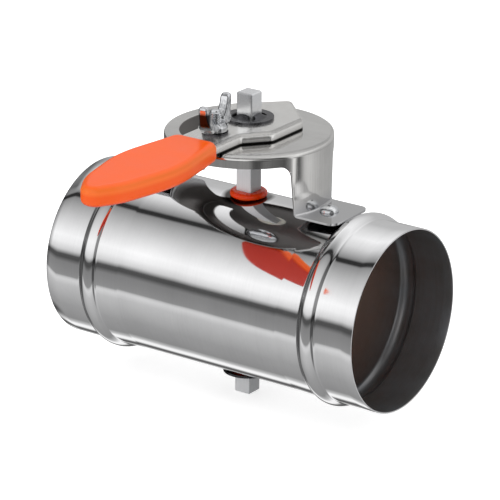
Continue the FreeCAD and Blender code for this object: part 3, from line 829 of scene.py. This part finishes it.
# Studio: a light tent of long strips beside the duct, a pale floor and one soft lamp
studio = {
    "background": "FFFFFF",
    "floorColor": "F4F4F4",
    "floorGlow": 0.60,
    "floorSize": 6.0,
    "floorGap": 0.2 * mm,
    "plainLevel": 0.95,        # what a matt surface receives from all round
    "lampPower": 5.0,
    "lampSize": 1.0,
    "lampPlace": (-0.5, -0.7, 1.5),
    # degrees round the duct's axis from the front, over the top, to the back; then the strip's level
    "strips": ((-180, 0.55), (-166, 0.32), (-150, 0.70), (-142, 0.62), (-136, 0.28), (-130, 0.07),
               (-124, 0.20), (-119, 1.00), (-113, 1.05), (-107, 0.55), (-100, 0.29), (-73, 0.36),
               (-41, 0.56), (-33, 0.72), (-30, 0.62), (-28, 0.30), (-10, 0.24), (-4, 0.08), (0, 0.09),
               (6, 0.72), (15, 1.00), (24, 1.08), (55, 0.58), (75, 0.28), (77, 0.03), (82, 0.03),
               (84, 0.26), (103, 0.78), (119, 1.00), (147, 0.66), (156, 0.54), (180, 0.50)),
    # share of a strip's level along the duct's axis: dark cards stand in front at both ends of the
    # tent, and behind at its left end
    "frontCards": ((-1.0, 0.2), (-0.87, 0.2), (-0.77, 1.0), (0.54, 1.0), (0.64, 0.28), (1.0, 0.28)),
    "backCard": ((-1.0, 0.22), (-0.70, 0.22), (-0.60, 1.0), (1.0, 1.0)),
    "cardEdge": 0.08,
}


def levelOver(tree, value, low, high, strips):
    # a grey that goes from strip to strip as the value goes from low to high
    share = addNode(tree, "ShaderNodeMapRange", {"From Min": low, "From Max": high}, {"Value": value})
    ramp = addNode(tree, "ShaderNodeValToRGB", links={"Fac": share.outputs["Result"]})
    stops = ramp.color_ramp.elements
    for index, (reading, level) in enumerate(strips):
        place = (reading - strips[0][0]) / (strips[-1][0] - strips[0][0])
        stop = stops[index] if index < 2 else stops.new(place)
        stop.position = place
        stop.color = (level, level, level, 1.0)
    return ramp.outputs["Color"]


def makeWorld(light):
    world = bpy.data.worlds.new("lightTent")
    bpy.context.scene.world = world
    world.use_nodes = True
    tree = world.node_tree
    tree.nodes.clear()
    direction = addNode(tree, "ShaderNodeTexCoord").outputs["Generated"]
    parts = addNode(tree, "ShaderNodeSeparateXYZ", links={0: direction})
    front = addNode(tree, "ShaderNodeMath", {"operation": "MULTIPLY", 1: -1.0}, {0: parts.outputs["Y"]})
    turn = addNode(tree, "ShaderNodeMath", {"operation": "ARCTAN2"},
                   {0: parts.outputs["Z"], 1: front.outputs[0]})
    around = levelOver(tree, turn.outputs[0], -math.pi, math.pi, light["strips"])
    edge = light["cardEdge"]
    behind = addNode(tree, "ShaderNodeMapRange", {"From Min": -edge, "From Max": edge},
                     {"Value": parts.outputs["Y"]})
    along = addNode(tree, "ShaderNodeMix", {"data_type": "RGBA"}, {
        0: behind.outputs["Result"],
        6: levelOver(tree, parts.outputs["X"], -1.0, 1.0, light["frontCards"]),
        7: levelOver(tree, parts.outputs["X"], -1.0, 1.0, light["backCard"])})
    cards = addNode(tree, "ShaderNodeVectorMath", {"operation": "MULTIPLY"},
                    {0: around, 1: along.outputs[2]})
    path = addNode(tree, "ShaderNodeLightPath")
    white = linearColor(light["background"])
    backdrop = addNode(tree, "ShaderNodeMix", {"data_type": "RGBA", 7: white},
                       {0: path.outputs["Is Camera Ray"], 6: cards.outputs[0]})
    glossy = addNode(tree, "ShaderNodeMath", {"operation": "ADD"},
                     {0: path.outputs["Is Camera Ray"], 1: path.outputs["Is Glossy Ray"]})
    shown = addNode(tree, "ShaderNodeMath", {"operation": "ADD", "use_clamp": True},
                    {0: glossy.outputs[0], 1: path.outputs["Is Transmission Ray"]})
    tent = addNode(tree, "ShaderNodeBackground", {"Strength": 1.0}, {"Color": backdrop.outputs[2]})
    plain = addNode(tree, "ShaderNodeBackground", {"Color": white, "Strength": light["plainLevel"]})
    seen = addNode(tree, "ShaderNodeMixShader",
                   links={0: shown.outputs[0], 1: plain.outputs[0], 2: tent.outputs[0]})
    addNode(tree, "ShaderNodeOutputWorld", links={"Surface": seen.outputs[0]})


def makeFloor(light):
    clearSelection()
    level = cadBox[0].z - light["floorGap"]
    bpy.ops.mesh.primitive_plane_add(size=light["floorSize"], location=(0, 0, level))
    floor = namePiece("studioFloor")
    material = bpy.data.materials.new("paleFloor")
    material.use_nodes = True
    tree = material.node_tree
    tree.nodes.clear()
    matt = addNode(tree, "ShaderNodeBsdfDiffuse", {"Color": linearColor(light["floorColor"])})
    glow = addNode(tree, "ShaderNodeEmission",
                   {"Color": linearColor(light["background"]), "Strength": light["floorGlow"]})
    path = addNode(tree, "ShaderNodeLightPath")
    both = addNode(tree, "ShaderNodeAddShader", links={0: matt.outputs[0], 1: glow.outputs[0]})
    seen = addNode(tree, "ShaderNodeMixShader",
                   links={0: path.outputs["Is Camera Ray"], 1: matt.outputs[0], 2: both.outputs[0]})
    addNode(tree, "ShaderNodeOutputMaterial", links={"Surface": seen.outputs[0]})
    floor.data.materials.append(material)
    floor.visible_glossy = False


def makeLamp(light):
    clearSelection()
    bpy.ops.object.light_add(type="AREA", location=light["lampPlace"])
    lamp = bpy.context.object
    lamp.data.size = light["lampSize"]
    lamp.data.energy = light["lampPower"]
    lamp.visible_glossy = False
    lamp.rotation_euler = (-lamp.location).to_track_quat("-Z", "Y").to_euler()


makeWorld(studio)
makeFloor(studio)
makeLamp(studio)
print("studio lit")


# Camera, fitted to the photograph's square frame
camera = {
    "azimuth": 35.14,
    "elevation": 20.31,
    "roll": 0.425,
    "distance": 1.6879,
    "target": (1.15 * mm, 0.0, 18.24 * mm),
    "lens": 224.85,
    "nearest": 0.05,
    "farthest": 20.0,
}


def makeCamera(view):
    around, above = math.radians(view["azimuth"]), math.radians(view["elevation"])
    roll = math.radians(view["roll"])
    back = Vector((math.sin(around) * math.cos(above), -math.cos(around) * math.cos(above),
                   math.sin(above)))
    level = Vector((0, 0, 1)).cross(back).normalized()
    upward = back.cross(level)
    right = level * math.cos(roll) + upward * math.sin(roll)
    up = upward * math.cos(roll) - level * math.sin(roll)
    clearSelection()
    bpy.ops.object.camera_add()
    eye = bpy.context.object
    eye.data.lens = view["lens"]
    eye.data.clip_start = view["nearest"]
    eye.data.clip_end = view["farthest"]
    place = Vector(view["target"]) + back * view["distance"]
    eye.matrix_world = Matrix.Translation(place) @ Matrix((right, up, back)).transposed().to_4x4()
    bpy.context.scene.camera = eye


makeCamera(camera)
bpy.context.scene.view_settings.view_transform = "Standard"
print("camera set")
